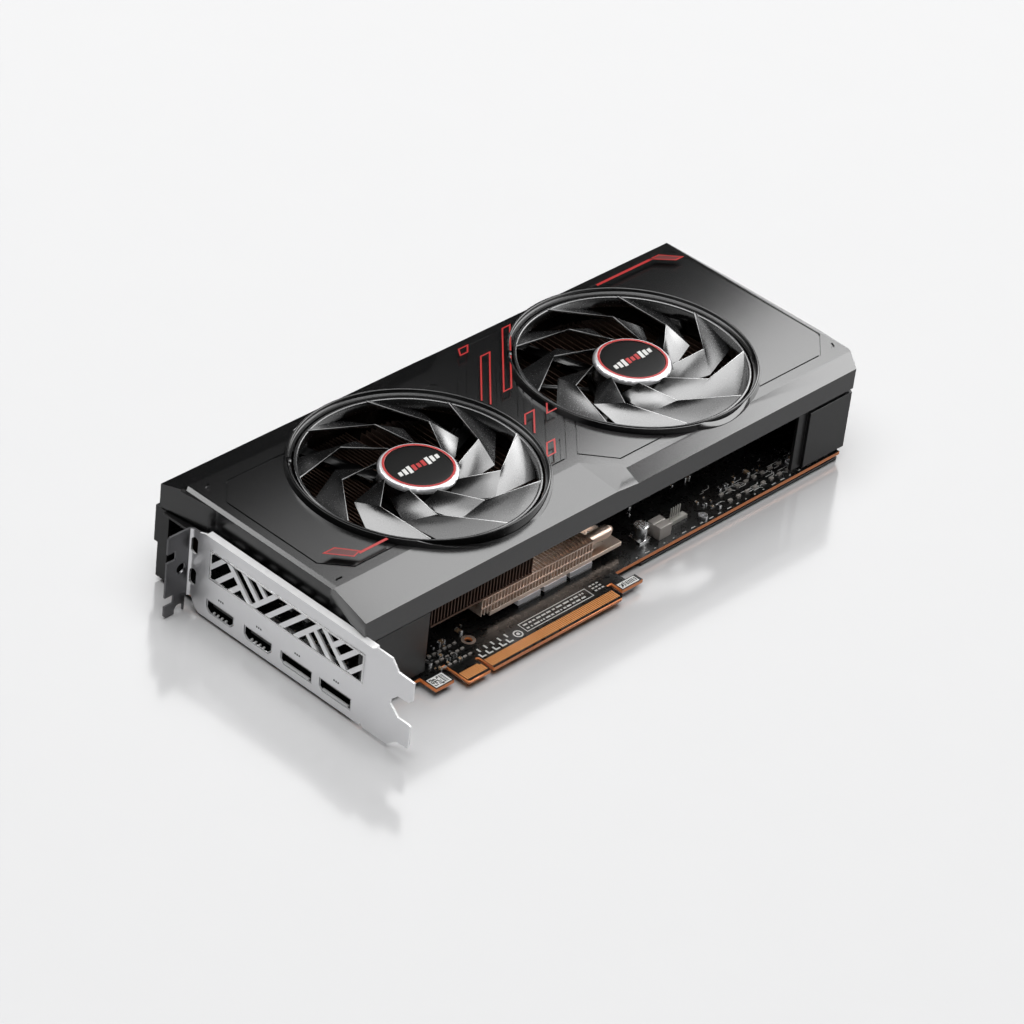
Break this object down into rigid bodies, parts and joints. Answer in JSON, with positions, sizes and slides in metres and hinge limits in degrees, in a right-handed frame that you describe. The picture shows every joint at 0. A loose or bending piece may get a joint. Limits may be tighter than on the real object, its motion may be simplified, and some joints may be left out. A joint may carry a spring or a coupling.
{
  "type": "graphics card",
  "caption": "Dual-fan graphics card: shroud and finned cooler over a circuit board with an edge connector, display sockets and a slotted end bracket.",
  "frame": {"origin": "on the backplate's outer face, midway between the two fan axes", "axes": "+Z from the backplate towards the fans, +X from the bracket to the far end, +Y from the edge connector to the power sockets"},
  "size_m": [0.2991, 0.1427, 0.0498],
  "materials": {
    "shroud_plastic": "fine moulded texture",
    "black_plastic": "glossy",
    "cover_plastic": "satin",
    "connector_plastic": "smooth",
    "pale_plastic": "smooth",
    "polished_metal": "polished",
    "steel": "plated",
    "bracket_steel": "nickel plated",
    "black_metal": "satin black",
    "fin_aluminium": "raw",
    "copper": "satin copper",
    "brass_plate": "gold plated",
    "board_laminate": "solder mask",
    "magnet": "bonded ferrite",
    "winding": "enamelled copper wire",
    "pad": "soft silicone",
    "chip_epoxy": "moulded epoxy",
    "package": "laminate",
    "ferrite": "sintered",
    "wire_jacket": "smooth",
    "ceramic_parts": "sintered"
  },
  "bodies": {
    "card": {"shroud": "shroud_plastic", "front_fan_frame": "black_plastic", "rear_fan_frame": "black_plastic", "front_stator": "steel", "rear_stator": "steel", "front_coils": "winding", "rear_coils": "winding", "front_bearings": "steel", "rear_bearings": "steel", "fan_screws": "steel", "front_fins": "fin_aluminium", "lower_fins": "fin_aluminium", "centre_fins": "fin_aluminium", "rear_fins": "fin_aluminium", "heat_pipes": "copper", "cold_plate": "copper", "plate_standoffs": "brass_plate", "thermal_paste": "pad", "memory_pads": "pad", "memory_chips": "chip_epoxy", "gpu_package": "package", "inductors": "ferrite", "can_capacitors": "polished_metal", "power_stages": "chip_epoxy", "choke_block": "ferrite", "pin_header": "pale_plastic", "circuit_board": "board_laminate", "edge_contacts": "brass_plate", "hole_rings": "copper", "hdmi_shells": "steel", "hdmi_tongues": "connector_plastic", "displayport_shells": "steel", "displayport_tongues": "connector_plastic", "power_sockets": "connector_plastic", "power_pins": "brass_plate", "fan_headers": "pale_plastic", "fan_cables": "wire_jacket", "surface_parts": "ceramic_parts", "io_bracket": "bracket_steel", "bracket_screws": "steel", "io_end_cover": "cover_plastic", "far_end_cover": "cover_plastic", "cover_screws": "steel", "backplate": "black_metal", "backplate_screws": "steel", "shroud_screws": "steel", "spring_bracket": "steel", "spring_screws": "steel"},
    "front_fan": {"front_rotor": "black_plastic", "front_hub_badge": "black_plastic", "front_trim_ring": "polished_metal", "front_magnet_ring": "magnet", "front_shaft": "steel"},
    "rear_fan": {"rear_rotor": "black_plastic", "rear_hub_badge": "black_plastic", "rear_trim_ring": "polished_metal", "rear_magnet_ring": "magnet", "rear_shaft": "steel"}
  },
  "joints": [
    {"name": "front_fan_spin", "type": "hinge", "parent": "card", "child": "front_fan", "pos_m": [-0.0605, 0, 0.042], "axis": [0, 0, 1], "continuous": true},
    {"name": "rear_fan_spin", "type": "hinge", "parent": "card", "child": "rear_fan", "pos_m": [0.0605, 0, 0.042], "axis": [0, 0, 1], "continuous": true}
  ]
}
